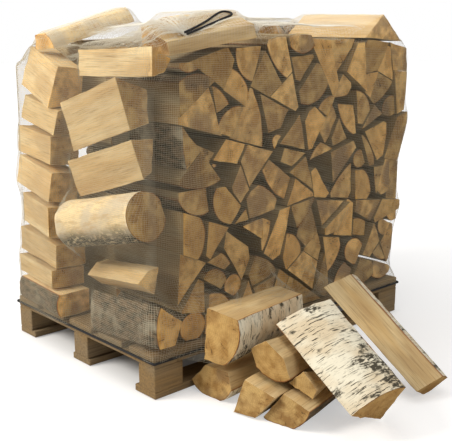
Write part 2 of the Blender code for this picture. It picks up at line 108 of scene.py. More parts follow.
# How the logs are dressed
CORNER = Vector((-PALLET_LENGTH / 2, -PALLET_WIDTH / 2, 0))
LOG_GAPS = (0.003, 0.0095)
OUTER_LOG_GAP = 0.002
HOLE_COUNTS = (0, 0, 1, 1, 2)
END_LEAN = 0.1
HOLE_CUT = (0.014, 0.042)
SET_BACK = 0.012
SAPWOOD_EDGE = 0.004
GROUND = 0.0003
NO_BARK = 9.0
PITH_AWAY = (0.02, 0.06)
SAWN_FACING = 0.7
DRESS_SEED = 100
LOGS_SEED = 7
STACKED_SIDES = 40
PLACED_SIDES = 72
STACKED_CUTS = (3, 3)
STACKED_UNEVEN = 0.007
LOG_UNEVEN = 0.006
PLACED_LOG_CUTS = (8, 4)
PLACED_LOG_TONES = (0.2, 1)
LOOSE_LOG_CUTS = (18, 8)
LOOSE_LOG_TONES = (0, 0.18)
WORN_EDGE = 0.0015
BOARD_EDGE = 0.0022
BOARD_CUT = 0.09

# Net
MESH_SIZE = 0.0062
STRAND = 0.0003
NET_STEP = 0.016
NET_CLEAR = 0.0022
NET_FLOOR = 0.1185
NET_TOP = 1.06
NET_LOW = (-0.012, 0.0)
NET_HIGH = (PALLET_LENGTH + 0.004, PALLET_WIDTH + 0.004)
NET_BEND = 0.05
NET_COLUMNS = 250
RAY_START = 0.15
RAY_LENGTH = 0.25
OUTLINE_POINTS = 900
HOOP_TOP = 1.02
HOOP_POINTS = 180
TOP_GRID = (86, 60)
TOP_MARGIN = 0.05
ABOVE_ALL = 1.4
TOP_RAY = 0.47
TAUTNESS = 0.5
GATHER = (0.153, 0.02)
GATHER_PEAK = (0.03, 0.01)
FOLDS = 23
FOLD_HEIGHT = 0.014
FOLD_REACH = 0.55
RIM_INSET = 0.012
RIM_DROP = 0.004
NET_ROOM = 0.02
CORD_CLEAR = 0.0008
PLEATS = 420
PLEAT_SEED = 31
PLEAT_REACH = (0.12, 0.6)
PLEAT_STEPS = 25

# Camera, from the pallet's near corner
CAMERA_PLACE = (-1.4131, -1.843, 1.0978)
CAMERA_YAW = 42.735
CAMERA_PITCH = 13.193
CAMERA_LENS = 66.27

# A corner of a log's end is (across, up, rise of the bark's arc to the next corner), zero for a split face.
# Each log in a list: name, corners, middle of its near end, heading, pitch, roll, length.
# A log points along Y at heading 0.
CORNER_LOGS = (
    ("corner_log_1", ((-0.033, -0.054, 0.014), (-0.042, 0.0725, 0), (0.045, 0.026, 0), (0.028, -0.045, 0)),
     (0.042, -0.0227, 0.2155), 1, -4.2, 10.5, 0.335),
    ("corner_log_2", ((-0.041, -0.015, 0), (-0.006, 0.025, 0), (0.028, 0.036, 0), (0.017, -0.045, 0)),
     (0.038, 0.0625, 0.359), -5.5, -8.5, 9.7, 0.325),
    ("corner_log_3",
     ((-0.042, -0.0667, 0.02), (-0.0423, 0.084, 0.006), (0.0325, 0.049, 0), (0.052, -0.0645, 0)),
     (0.0637, 0.0678, 0.542), 3.6, -12.5, 0.3, 0.365),
    ("corner_log_4", ((-0.021, -0.0635, 0), (-0.039, 0.057, 0), (0.044, 0.0527, 0), (0.015, -0.044, 0)),
     (0.042, 0.0787, 0.7226), 1.3, -16.9, 0.2, 0.345),
    ("corner_log_5", ((-0.032, -0.076, 0), (-0.055, 0.081, 0), (0.0505, 0.043, 0), (0.0366, -0.057, 0)),
     (0.0454, 0.1257, 0.8742), -1, -17.1, 3.2, 0.325),
    ("corner_log_6", ((-0.027, -0.035, 0), (-0.031, 0.0445, 0), (0.0385, 0.017, 0), (0.0186, -0.0205, 0)),
     (0.0306, -0.0134, 0.9941), 0.8, -2.3, 4.5, 0.355),
)
FAR_LOGS = (
    ("side_log_1", ((-0.0617, -0.0427, 0.012), (-0.0616, 0.036, 0), (0.05, 0.04, 0), (0.05, -0.04, 0)),
     (0.0397, 0.4771, 0.1825), -4.4, 0, 0, 0.29),
    ("side_log_2", ((-0.0698, -0.036, 0), (-0.0697, 0.0265, 0), (0.05, 0.025, 0), (0.05, -0.038, 0)),
     (0.0505, 0.5253, 0.2653), -7.7, -0.4, -0.1, 0.282),
    ("side_log_3", ((-0.0598, -0.034, 0), (-0.0575, 0.048, 0), (0.05, 0.055, 0), (0.05, -0.035, 0)),
     (0.0534, 0.5166, 0.3327), -6.3, 2.2, -0.1, 0.29),
    ("side_log_4", ((-0.0692, -0.061, 0), (-0.068, 0.041, 0), (0.0546, 0.04, 0), (0.0546, -0.072, 0)),
     (0.0448, 0.5173, 0.4691), -13.6, 0.5, -0.1, 0.289),
    ("side_log_5", ((-0.0554, -0.034, 0), (-0.0455, 0.066, 0), (0.05, 0.062, 0), (0.05, -0.042, 0)),
     (0.041, 0.528, 0.5591), -8.2, 6, 0.5, 0.28),
    ("side_log_6", ((-0.0519, -0.044, 0), (-0.0485, 0.049, 0), (0.05, 0.044, 0), (0.05, -0.055, 0)),
     (0.0484, 0.5261, 0.6951), -8.2, 2.4, 0.5, 0.28),
    ("side_log_7", ((-0.0565, -0.048, 0), (-0.042, 0.031, 0), (0.05, 0.035, 0), (0.05, -0.048, 0)),
     (0.0534, 0.4957, 0.7976), -8.4, 7, 0.4, 0.28),
    ("side_log_8", ((-0.0633, -0.0697, 0), (-0.0362, 0.0678, 0), (0.05, 0.06, 0), (0.0492, -0.06, 0)),
     (0.059, 0.5074, 0.9035), -13.2, 11.6, 2.1, 0.29),
)
TOP_LOGS = (
    ("top_log_1", ((-0.06, -0.026, 0), (-0.035, 0.024, 0), (0.03, 0.03, 0.008), (0.06, -0.02, 0)),
     (0.055, 0.64, 1.043), -88, 15, 0, 0.345),
    ("top_log_2", ((-0.062, -0.034, 0), (-0.05, 0.045, 0), (0.06, 0.004, 0), (0.066, -0.036, 0)),
     (0.075, 0.07, 1.05), -90, 8, 0, 0.345),
    ("top_log_3", ((-0.115, -0.033, 0), (-0.01, 0.048, 0), (0.105, -0.047, 0)),
     (1.075, 0.012, 1.089), 2, 0, 0, 0.37),
    ("top_log_4", ((-0.065, -0.022, 0), (-0.04, 0.018, 0.008), (0.045, 0.02, 0), (0.075, -0.022, 0)),
     (0.52, 0.56, 1.101), -78, 4.6, 0, 0.37),
)
# A loose log's row ends with how much its far end is narrower and lower than its near one.
LOOSE_LOGS = (
    ("loose_log_1",
     ((-0.1, -0.018, 0.014), (0.03, -0.047, 0.006), (0.07, -0.004, 0), (0.057, 0.05, 0), (-0.04, 0.047, 0)),
     (0.139, -0.113, 0.0505), -87, 0, 0, 0.33, (0.97, 0.97)),
    ("loose_log_2", ((-0.072, -0.058, 0), (0.006, -0.052, 0), (0.074, 0.028, 0), (-0.03, 0.055, 0)),
     (0.128, -0.29, 0.0595), -80, 0, 0, 0.33, (0.97, 0.97)),
    ("loose_log_3", ((-0.092, -0.06, 0.006), (0.024, -0.0565, 0.02), (0.062, 0.001, 0), (-0.024, 0.031, 0)),
     (0.168, -0.398, 0.0665), -80, 0, 0, 0.28, (0.9, 0.75)),
    ("loose_log_4",
     ((-0.064, 0.031, 0), (-0.048, -0.0137, 0.006), (0.013, -0.045, 0.008),
      (0.073, -0.028, 0), (0.049, 0.028, 0), (-0.0135, 0.067, 0)),
     (0.176, -0.304, 0.1605), -81, -1, 0, 0.33, (0.85, 0.72)),
    ("loose_log_5",
     ((-0.066, 0.084, 0), (0.0436, 0.07, 0), (0.051, 0.022, 0),
      (0.041, -0.019, 0), (-0.003, -0.079, 0), (-0.075, -0.075, 0)),
     (0.118, -0.182, 0.2125), -79, -2, 0, 0.36, (0.82, 0.9)),
    ("loose_log_6", ((-0.0997, 0.0371, 0.036), (0.0949, 0.0341, 0), (0.047, -0.1, 0)),
     (0.3159, -0.5793, 0.0779), -4.7, 31.5, -14.3, 0.35, (1.035, 0.55)),
    ("loose_log_7",
     ((-0.0724, -0.0166, 0), (0.0432, 0.03, 0), (0.0675, 0.0031, 0),
      (0.03, -0.028, 0), (-0.0079, -0.0533, 0)),
     (0.6341, -0.5539, 0.0465), -4.7, 30, 4.6, 0.454, (1.124, 1.019)),
    ("loose_log_8", ((-0.045, -0.008, 0), (0.035, -0.035, 0), (0.046, -0.006, 0), (0.0, 0.036, 0)),
     (0.207, -0.405, 0.1235), -80, -4, 0, 0.08, (0.9, 0.5)),
)
# Logs whose bark shows on sides that are flat in the source
BARKED_SIDES = {
    "loose_log_5": (
        (-0.066, 0.084, 0), (0.0436, 0.07, 0.001), (0.051, 0.022, 0.001),
        (0.041, -0.019, 0.001), (-0.003, -0.079, 0), (-0.075, -0.075, 0),
    ),
    "loose_log_7": (
        (-0.0724, -0.0166, 0), (0.026, 0.0231, 0.002), (0.0675, 0.0031, 0),
        (0.03, -0.028, 0), (-0.0079, -0.0533, 0),
    ),
}

# Colours, linear
CREAM = (0.88, 0.69, 0.385)
HONEY = (0.8, 0.54, 0.235)
TAN = (0.56, 0.36, 0.16)
STREAK = (0.42, 0.25, 0.1)
BROWN = (0.24, 0.13, 0.055)
DEEP = (0.07, 0.04, 0.02)
RUST = (0.3, 0.095, 0.02)
END_LIGHT = (0.92, 0.6, 0.225)
END_TAN = (0.55, 0.3, 0.09)
END_GOLD = (0.88, 0.47, 0.11)
END_STAIN = (0.28, 0.175, 0.09)
BARK_WHITE = (0.8, 0.74, 0.58)
BARK_BEIGE = (0.68, 0.56, 0.38)
BARK_GREY = (0.34, 0.3, 0.21)
BARK_BROWN = (0.19, 0.13, 0.075)
BARK_DARK = (0.065, 0.055, 0.035)
TIMBER_BROWN = (0.27, 0.17, 0.07)
TIMBER_GREY = (0.25, 0.18, 0.1)
TIMBER_DARK = (0.1, 0.07, 0.045)
TIMBER_LIGHT = (0.4, 0.28, 0.14)
NET_BEIGE = (0.5, 0.45, 0.34)
NET_PAINTED_LIGHT = (0.88, 0.84, 0.74)
CORD_BLACK = (0.014, 0.014, 0.015)
FLOOR_WHITE = (0.62, 0.61, 0.6)
WORLD_STRENGTH = 0.27
KEY_POWER = 175
TOP_POWER = 85
FILL_POWER = 52

# Layout of the stack, as in the source


def sides_of(polygon):
    return list(zip(polygon, polygon[1:] + polygon[:1]))


def flat(corners):
    return [corner[:2] for corner in corners]


def between(a, b, share):
    return a[0] + (b[0] - a[0]) * share, a[1] + (b[1] - a[1]) * share


def moved(point, way, distance):
    return point[0] + way[0] * distance, point[1] + way[1] * distance


def area_of(polygon):
    return sum(a[0] * b[1] - b[0] * a[1] for a, b in sides_of(polygon)) / 2


def middle_of(polygon):
    return tuple(sum(corner[axis] for corner in polygon) / len(polygon) for axis in (0, 1))


def girth_of(polygon):
    return sum(math.dist(a, b) for a, b in sides_of(polygon))


def keep_side(polygon, point, normal):
    """The part of a convex polygon that lies on the side of a line to which its normal points."""
    kept = []
    for a, b in sides_of(polygon):
        height_a = depth_of(a, point, normal)
        height_b = depth_of(b, point, normal)
        if height_a >= 0:
            kept.append(a)
        if (height_a > 0 > height_b) or (height_a < 0 < height_b):
            kept.append(between(a, b, height_a / (height_a - height_b)))
    return kept


def inward(a, b):
    """The unit normal of side a to b of an anticlockwise polygon, pointing into it."""
    length = math.dist(a, b)
    return (a[1] - b[1]) / length, (b[0] - a[0]) / length


def moved_sides(polygon, inset):
    """The sides of a convex polygon, each moved inwards by inset, as lines with an inward normal."""
    return [(moved(a, inward(a, b), inset), inward(a, b)) for a, b in sides_of(polygon)]


def grown(polygon, amount):
    """A convex polygon with each side moved outwards by amount, cut from a square around it."""
    middle = middle_of(polygon)
    square = [(middle[0] + x, middle[1] + y) for x, y in ((-1, -1), (1, -1), (1, 1), (-1, 1))]
    for point, normal in moved_sides(polygon, -amount):
        square = keep_side(square, point, normal)
    return square


def cut_in_two(polygon, rng):
    """Splits a convex polygon across its long way, at a chance slant, into two parts that aren't slivers."""
    pairs = [(math.dist(a, b), a, b) for a in polygon for b in polygon]
    _, start, end = max(pairs)
    long_way = math.atan2(end[1] - start[1], end[0] - start[0])
    best = None
    for _ in range(6):
        slant = long_way + math.radians(rng.uniform(-SPLIT_SLANT, SPLIT_SLANT))
        normal = (math.cos(slant), math.sin(slant))
        middle = middle_of(polygon)
        shift = rng.uniform(-0.1, 0.1) * math.dist(start, end)
        point = moved(middle, normal, shift)
        one = keep_side(polygon, point, normal)
        other = keep_side(polygon, point, (-normal[0], -normal[1]))
        stoutness = min(area_of(part) / girth_of(part) ** 2 for part in (one, other))
        if best is None or stoutness > best[0]:
            best = (stoutness, one, other)
        if stoutness > STOUT_ENOUGH:
            break
    return best[1:]


def share_out(polygon, count, rng):
    """Cuts a polygon into a number of parts of like area."""
    parts = [polygon]
    while len(parts) < count:
        parts.sort(key=area_of)
        parts += cut_in_two(parts.pop(), rng)
    return parts


def log_ends(polygon, rng):
    """Cuts a bundle's outline into the ends of its logs."""
    parts, waiting = [], [polygon]
    while waiting:
        part = waiting.pop()
        if area_of(part) < LOG_END_AREA * rng.uniform(*END_AREA_SPREAD):
            parts.append(part)
        else:
            waiting += cut_in_two(part, rng)
    return parts


def with_bark(polygon, side, depth):
    """Corners of a log's end with one side turned into the arc of its bark, inside the polygon."""
    count = len(polygon)
    before, start = polygon[side - 1], polygon[side]
    end, after = polygon[(side + 1) % count], polygon[(side + 2) % count]
    back = min(depth, 0.45 * math.dist(before, start)) / math.dist(before, start)
    on = min(depth, 0.45 * math.dist(end, after)) / math.dist(end, after)
    first = between(start, before, back)
    last = between(end, after, on)
    normal = inward(first, last)
    rise = min(-depth_of(corner, first, normal) for corner in (start, end))
    corners = [(*first, rise), (*last, 0)]
    corners += [(*polygon[(side + 2 + k) % count], 0) for k in range(count - 2)]
    return corners


def depth_of(point, start, normal):
    """How far a point lies from a line, along the line's normal."""
    return (point[0] - start[0]) * normal[0] + (point[1] - start[1]) * normal[1]


def weathered(polygon, outer, rng):
    """A log's end at the stack's outside, its outer side drawn in and tilted by chance."""
    for (a, b) in outer:
        normal = inward(a, b)
        reach = min(depth_of(point, a, normal) for point in polygon)
        if reach < 0.002:
            tilt = math.radians(rng.uniform(-OUTER_TILT, OUTER_TILT))
            turned = (
                normal[0] * math.cos(tilt) - normal[1] * math.sin(tilt),
                normal[0] * math.sin(tilt) + normal[1] * math.cos(tilt),
            )
            middle = middle_of([point for point in polygon if depth_of(point, a, normal) < 0.03])
            inset = rng.uniform(0.0, OUTER_INSET)
            polygon = keep_side(polygon, moved(middle, normal, inset), turned)
    return polygon


def overlapping(one, other):
    """Whether two logs' ends press into each other over more than a point."""
    shared = one
    for point, normal in moved_sides(other, 0):
        shared = keep_side(shared, point, normal)
        if len(shared) < 3:
            return False
    return area_of(shared) > 3e-6


def apart(bundle):
    """The places in a bundle of the logs that nothing presses against the first one."""
    ends = [rounded(corners, 2) for corners, _, _ in bundle]
    reached, waiting = {0}, [0]
    while waiting:
        here = waiting.pop()
        found = [k for k in range(len(ends)) if k not in reached and overlapping(ends[here], ends[k])]
        reached.update(found)
        waiting += found
    return [k for k in range(len(ends)) if k not in reached]


def stack_half(left, rim, rng):
    """The bundles of one half of the stack, each a list of (corners, end step, length step) for its logs."""
    result = []
    outer = list(zip(rim, rim[1:]))
    for region in share_out([(left, STACK_FLOOR), *rim], BUNDLES, rng):
        bundle, plain = [], []
        for end in log_ends(region, rng):
            end = weathered(grown(end, PRESS * rng.uniform(0.7, 1.7)), outer, rng)
            for point, normal in moved_sides(region, BUNDLE_GAP * rng.uniform(1, 2.5)):
                end = keep_side(end, point, normal)
            sides = [math.dist(a, b) for a, b in sides_of(end)]
            side = sides.index(max(sides))
            if rng.random() < SHORT_SIDE_SHARE:
                side = rng.randrange(len(end))
            plain.append([(*corner, 0) for corner in end])
            corners = plain[-1]
            if rng.random() < BARK_SHARE:
                corners = with_bark(end, side, rng.uniform(*BARK_DEPTH))
            bundle.append((corners, rng.uniform(0, END_STAGGER), rng.uniform(0, END_STAGGER)))
        for _ in bundle:
            for k in apart(bundle):
                bundle[k] = (plain[k], *bundle[k][1:])
            for k in range(len(bundle)):
                if apart(bundle) and bundle[k][0] is not plain[k]:
                    bundle[k] = (plain[k], *bundle[k][1:])
                    break
        result.append(bundle)
    return result


def rounded(corners, steps):
    """The points of a log's end, with each bark side as an arc of that many steps."""
    points = []
    for k, (x, z, rise) in enumerate(corners):
        points.append((x, z))
        if rise <= 0:
            continue
        end = corners[(k + 1) % len(corners)]
        normal = inward((x, z), end[:2])
        sign = -1 if area_of(flat(corners)) > 0 else 1
        for step in range(1, steps):
            along = step / steps
            lift = sign * 4 * rise * along * (1 - along)
            points.append(moved(between((x, z), end, along), normal, lift))
    return points


def smooth_route(points, count):
    """Points along a smooth curve through the given ones."""
    result = []
    last = len(points) - 1
    for step in range(count):
        place = last * step / (count - 1)
        k = min(int(place), last - 1)
        t = place - k
        a, b, c, d = (points[max(0, min(last, k + j))] for j in (-1, 0, 1, 2))
        result.append(tuple(
            0.5 * (2 * q + (r - p) * t + (2 * p - 5 * q + 4 * r - s) * t**2 + (3 * q - p - 3 * r + s) * t**3)
            for p, q, r, s in zip(a, b, c, d)
        ))
    return result


def hem_route():
    """A rounded rectangle around the pallet, at the joint of its rim and deck."""
    height = FOOT_BOARD[1] + BLOCK[2] + RIM_BOARD[1] + 3 * GAP
    out = HEM_RADIUS + 0.0015
    bend = out + GAP
    corners = (
        (PALLET_LENGTH + out - bend, PALLET_WIDTH + out - bend, 0),
        (-out + bend, PALLET_WIDTH + out - bend, 90),
        (-out + bend, -out + bend, 180),
        (PALLET_LENGTH + out - bend, -out + bend, 270),
    )
    route = []
    for x, y, first in corners:
        for turn in (0, 30, 60, 90):
            angle = math.radians(first + turn)
            route.append((x + bend * math.cos(angle), y + bend * math.sin(angle), height))
    return route


# Finishes


class Finish:
    """A material and the means to wire its nodes."""

    def __init__(self, name, roughness):
        self.material = bpy.data.materials.new(name)
        self.material.use_nodes = True
        self.tree = self.material.node_tree
        self.shader = self.tree.nodes["Principled BSDF"]
        self.shader.inputs["Roughness"].default_value = roughness
        self.shader.inputs["Specular IOR Level"].default_value = 0.25

    def add(self, kind, inputs, **settings):
        node = self.tree.nodes.new("ShaderNode" + kind)
        for key, value in settings.items():
            setattr(node, key, value)
        for key, value in inputs.items():
            if isinstance(value, bpy.types.NodeSocket):
                self.tree.links.new(value, node.inputs[key])
            else:
                node.inputs[key].default_value = value
        return node

    def attribute(self, name):
        return self.add("Attribute", {}, attribute_name=name).outputs["Vector"]

    def split(self, vector):
        return self.add("SeparateXYZ", {0: vector}).outputs

    def join(self, x, y, z):
        return self.add("CombineXYZ", {0: x, 1: y, 2: z}).outputs[0]

    def math(self, operation, a, b=0.0):
        return self.add("Math", {0: a, 1: b}, operation=operation).outputs[0]

    def plus(self, a, b):
        return self.math("ADD", a, b)

    def minus(self, a, b):
        return self.math("SUBTRACT", a, b)

    def times(self, a, b):
        return self.math("MULTIPLY", a, b)

    def from_pith(self, place):
        return self.math("SQRT", self.plus(self.times(place[0], place[0]), self.times(place[2], place[2])))

    def noise(self, vector, factors, detail=3.0, roughness=0.55):
        """Noise as fine along each axis as that axis's factor says."""
        drawn = self.add("VectorMath", {0: vector, 1: factors}, operation="MULTIPLY").outputs[0]
        inputs = {"Vector": drawn, "Scale": 1.0, "Detail": detail, "Roughness": roughness}
        return self.add("TexNoise", inputs).outputs["Fac"]

    def range(self, value, low, high, to_low=0.0, to_high=1.0):
        inputs = {0: value, 1: low, 2: high, 3: to_low, 4: to_high}
        return self.add("MapRange", inputs, clamp=True).outputs[0]

    def mix(self, factor, a, b, blend="MIX"):
        a = a if isinstance(a, bpy.types.NodeSocket) else (*a, 1)
        b = b if isinstance(b, bpy.types.NodeSocket) else (*b, 1)
        return self.add("Mix", {0: factor, 6: a, 7: b}, data_type="RGBA", blend_type=blend).outputs[2]

    def toned(self, colour, tone, low, high):
        """A colour made darker or lighter as a whole, by the log's own tone."""
        shade = self.range(tone, 0, 1, low, high)
        return self.mix(1.0, colour, self.join(shade, shade, shade), "MULTIPLY")

    def bump(self, height, distance, normal=None):
        inputs = {"Height": height, "Distance": distance, "Strength": 1.0}
        if normal is not None:
            inputs["Normal"] = normal
        return self.add("Bump", inputs).outputs[0]

    def done(self, colour, normal=None):
        self.tree.links.new(colour, self.shader.inputs["Base Color"])
        if normal is not None:
            self.tree.links.new(normal, self.shader.inputs["Normal"])
        return self.material


def split_face(name, shade):
    """The long fibres of birch where the axe opened it. A shade under 1 darkens it all, as painted shade for
    faces deep in the stack.
    """
    f = Finish(name, 0.72)
    wood = f.attribute("wood")
    look = f.split(f.attribute("look"))
    place = f.split(wood)
    fibres = f.noise(wood, (260, 9, 260), 4, 0.6)
    bands = f.noise(wood, (26, 2.6, 26))
    patches = f.noise(wood, (13, 4, 13))
    colour = f.mix(f.range(bands, 0.35, 0.65), CREAM, HONEY)
    colour = f.mix(f.range(patches, 0.4, 0.6, 0, 0.62), colour, TAN)
    colour = f.mix(f.range(fibres, 0.5, 0.68, 0, 0.6), colour, STREAK)
    reach = f.from_pith(place)
    depth = f.minus(look[1], reach)
    edge = f.range(depth, 0.0012, SAPWOOD_EDGE, 1, 0)
    colour = f.mix(f.times(edge, 0.85), colour, RUST)
    # shade scales the whole colour; the stack's copy at 0.46 is painted shade for wood inside the stack
    colour = f.toned(colour, look[0], 0.76 * shade, 1.04 * shade)
    normal = f.bump(fibres, 0.0016)
    normal = f.bump(bands, 0.006, normal=normal)
    return f.done(colour, normal)


def end_grain():
    """The sawn end: faint rings and saw marks, a few radial checks, stains and a rust line under the bark."""
    f = Finish("sawn_end", 0.8)
    wood = f.attribute("wood")
    look = f.split(f.attribute("look"))
    place = f.split(wood)
    reach = f.from_pith(place)
    mottle = f.noise(wood, (26, 1, 26), 4)
    stain = f.noise(wood, (11, 1, 11), 2)
    grit = f.noise(wood, (420, 30, 420), 2)
    across = f.times(f.plus(place[0], f.times(place[2], 0.6)), 260)
    saw = f.noise(f.join(across, look[2], 0.0), (1, 1, 1), 2)
    ripple = f.math("SINE", f.plus(f.times(reach, 900), f.times(mottle, 9)))
    colour = f.mix(f.range(mottle, 0.4, 0.6), END_LIGHT, END_TAN)
    own = f.math("FRACT", f.times(look[2], 7.31))
    stained = f.times(f.range(stain, 0.42, 0.58), f.range(own, 0.2, 1, 0.15, 0.95))
    colour = f.mix(stained, colour, END_STAIN)
    warmth = f.math("FRACT", f.times(look[2], 3.77))
    colour = f.mix(f.range(warmth, 0.55, 1, 0, 0.5), colour, END_GOLD)
    colour = f.mix(f.range(ripple, -1, 1, 0, 0.13), colour, BROWN)
    colour = f.mix(f.range(grit, 0.5, 0.75, 0, 0.35), colour, BROWN)
    turn_x = f.math("DIVIDE", place[0], f.math("MAXIMUM", reach, 0.004))
    turn_z = f.math("DIVIDE", place[2], f.math("MAXIMUM", reach, 0.004))
    rays = f.noise(f.join(turn_x, f.plus(reach, look[2]), turn_z), (9, 7, 9), 1)
    check = f.range(f.math("ABSOLUTE", f.minus(rays, 0.5)), 0.004, 0.014, 0.8, 0)
    check = f.times(check, f.range(mottle, 0.5, 0.6))
    colour = f.mix(check, colour, DEEP)
    depth = f.minus(look[1], reach)
    colour = f.mix(f.range(depth, 0.001, SAPWOOD_EDGE, 0.9, 0), colour, RUST)
    colour = f.toned(colour, look[0], 0.62, 1.2)
    normal = f.bump(saw, 0.0012)
    normal = f.bump(grit, 0.001, normal=normal)
    return f.done(colour, normal)


def white_bark():
    """Papery birch bark with dark dashes around the trunk and a few black rough patches."""
    f = Finish("birch_bark_white", 0.6)
    skin = f.attribute("skin")
    dash = f.noise(skin, (20, 240, 1), 3, 0.6)
    fine = f.noise(skin, (34, 560, 1), 1)
    patch = f.noise(skin, (16, 26, 1))
    rough = f.noise(skin, (70, 150, 1), 4)
    warm = f.noise(skin, (9, 14, 1), 2)
    colour = f.mix(f.range(warm, 0.4, 0.65), BARK_WHITE, BARK_BEIGE)
    colour = f.mix(f.range(fine, 0.6, 0.68, 0, 0.6), colour, BARK_GREY)
    marks = f.times(f.range(dash, 0.6, 0.63), f.range(warm, 0.3, 0.5, 0.6, 1))
    colour = f.mix(marks, colour, BARK_DARK)
    seed = f.split(f.attribute("look"))[2]
    spot = f.split(skin)
    butt = f.range(f.minus(spot[1], seed), 0.3, 0.08)
    flank = f.range(f.minus(spot[0], seed), 0.04, -0.06, 0, 0.2)
    patch = f.plus(patch, f.times(butt, flank))
    black = f.times(f.range(patch, 0.59, 0.65), f.range(rough, 0.4, 0.52))
    colour = f.mix(black, colour, BARK_DARK)
    raised = f.times(rough, f.range(patch, 0.55, 0.66))
    return f.done(colour, f.bump(f.plus(f.times(marks, -1.0), raised), 0.0012))


def grey_bark():
    """Older bark: brown-grey and fissured, with worn pale patches."""
    f = Finish("birch_bark_grey", 0.85)
    skin = f.attribute("skin")
    plates = f.noise(skin, (60, 22, 1), 5, 0.65)
    patch = f.noise(skin, (12, 9, 1))
    colour = f.mix(f.range(plates, 0.4, 0.6), BARK_DARK, BARK_BROWN)
    colour = f.mix(f.range(patch, 0.52, 0.64, 0, 0.7), colour, BARK_GREY)
    return f.done(colour, f.bump(plates, 0.004))


def worn_bark():
    """Bark rubbed off to a cream skin, with brown stains and a dark rough patch along one side."""
    f = Finish("birch_bark_worn", 0.8)
    skin = f.attribute("skin")
    place = f.split(f.attribute("wood"))
    streaks = f.noise(skin, (60, 16, 1), 5, 0.65)
    patch = f.noise(skin, (14, 11, 1))
    rough = f.noise(skin, (90, 70, 1), 4)
    colour = f.mix(f.range(patch, 0.4, 0.6), CREAM, BARK_BEIGE)
    colour = f.mix(f.range(streaks, 0.48, 0.62, 0, 0.6), colour, TAN)
    low = f.range(f.plus(place[2], f.times(patch, 0.06)), -0.02, 0.02, 1, 0)
    colour = f.mix(f.times(low, f.range(rough, 0.38, 0.5, 0.35, 1)), colour, BARK_DARK)
    return f.done(colour, f.bump(streaks, 0.003))


def pallet_timber():
    """Weathered softwood boards, grained along their length."""
    f = Finish("pallet_timber", 0.8)
    place = f.add("TexCoord", {}).outputs["Object"]
    grain = f.noise(place, (5, 130, 130), 4)
    cross = f.noise(place, (130, 5, 130), 4)
    blotch = f.noise(place, (5, 5, 12))
    colour = f.mix(f.range(blotch, 0.38, 0.62), TIMBER_BROWN, TIMBER_GREY)
    colour = f.mix(f.range(grain, 0.45, 0.7, 0, 0.6), colour, TIMBER_DARK)
    colour = f.mix(f.range(cross, 0.55, 0.75, 0, 0.3), colour, TIMBER_LIGHT)
    return f.done(colour, f.bump(grain, 0.0015))


def net_strand():
    """Brown-beige strands, painted paler towards the top where the net is drawn together over the stack, as
    painted light.
    """
    f = Finish("net_strand", 0.5)
    height = f.split(f.add("TexCoord", {}).outputs["Object"])[2]
    # Painted light: the strands turn pale with height over the top of the stack
    return f.done(f.mix(f.range(height, 1.03, 1.1), NET_BEIGE, NET_PAINTED_LIGHT))


def painted_light_floor():
    """A grey floor that glows white only for the camera, as painted light, so it looks white all over, as a
    studio sweep does, but lights the pile less from below. The glow weakens near the pallet and almost stops
    under it, as painted shade.
    """
    f = Finish("painted_light_floor", 0.9)
    seen = f.add("LightPath", {}).outputs["Is Camera Ray"]
    place = f.add("TexCoord", {}).outputs["Object"]
    away = f.add("VectorMath", {0: place}, operation="LENGTH").outputs["Value"]
    f.shader.inputs["Emission Color"].default_value = (1, 1, 1, 1)
    across = f.split(f.add("VectorMath", {0: place}, operation="ABSOLUTE").outputs[0])
    # Painted shade: the camera-only glow fades towards the pile and nearly stops under the pallet
    beside = f.math("MAXIMUM", f.minus(across[0], 0.6), f.minus(across[1], 0.4))
    painted_glow = f.times(f.range(away, 0.7, 3.2, 0.46, 0.9), f.range(beside, -0.12, 0.03, 0.05, 1))
    f.tree.links.new(f.times(seen, painted_glow), f.shader.inputs["Emission Strength"])
    f.shader.inputs["Base Color"].default_value = (*FLOOR_WHITE, 1)
    return f.material


def plain(name, colour, roughness, spread, scale):
    """A plastic whose colour drifts a little."""
    f = Finish(name, roughness)
    place = f.add("TexCoord", {}).outputs["Object"]
    drift = f.noise(place, (scale, scale, scale), 2)
    other = tuple(channel * spread for channel in colour)
    return f.done(f.mix(f.range(drift, 0.35, 0.65), colour, other))


# Modelling


def mode(kind):
    bpy.ops.object.mode_set(mode=kind)


def deselect():
    if bpy.context.object and bpy.context.object.mode != "OBJECT":
        mode("OBJECT")
    bpy.ops.object.select_all(action="DESELECT")


def work_on(*things):
    deselect()
    for thing in things:
        thing.select_set(True)
    bpy.context.view_layer.objects.active = things[0]


def wear(piece, *materials):
    piece.data.materials.clear()
    for material in materials:
        piece.data.materials.append(material)


def finished(piece, name, nodes):
    """Names a piece, ties it to the body and hides the solids that it stands for."""
    piece.name = name
    piece.data.name = name
    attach(piece, "root")
    if nodes:
        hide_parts(*nodes)
    return piece


def circle_through(a, b, c):
    """Centre and radius of the circle through three points."""
    d = 2 * (a[0] * (b[1] - c[1]) + b[0] * (c[1] - a[1]) + c[0] * (a[1] - b[1]))
    squares = [p[0] ** 2 + p[1] ** 2 for p in (a, b, c)]
    x = (squares[0] * (b[1] - c[1]) + squares[1] * (c[1] - a[1]) + squares[2] * (a[1] - b[1])) / d
    y = (squares[0] * (c[0] - b[0]) + squares[1] * (a[0] - c[0]) + squares[2] * (b[0] - a[0])) / d
    return (x, y), math.dist((x, y), a)


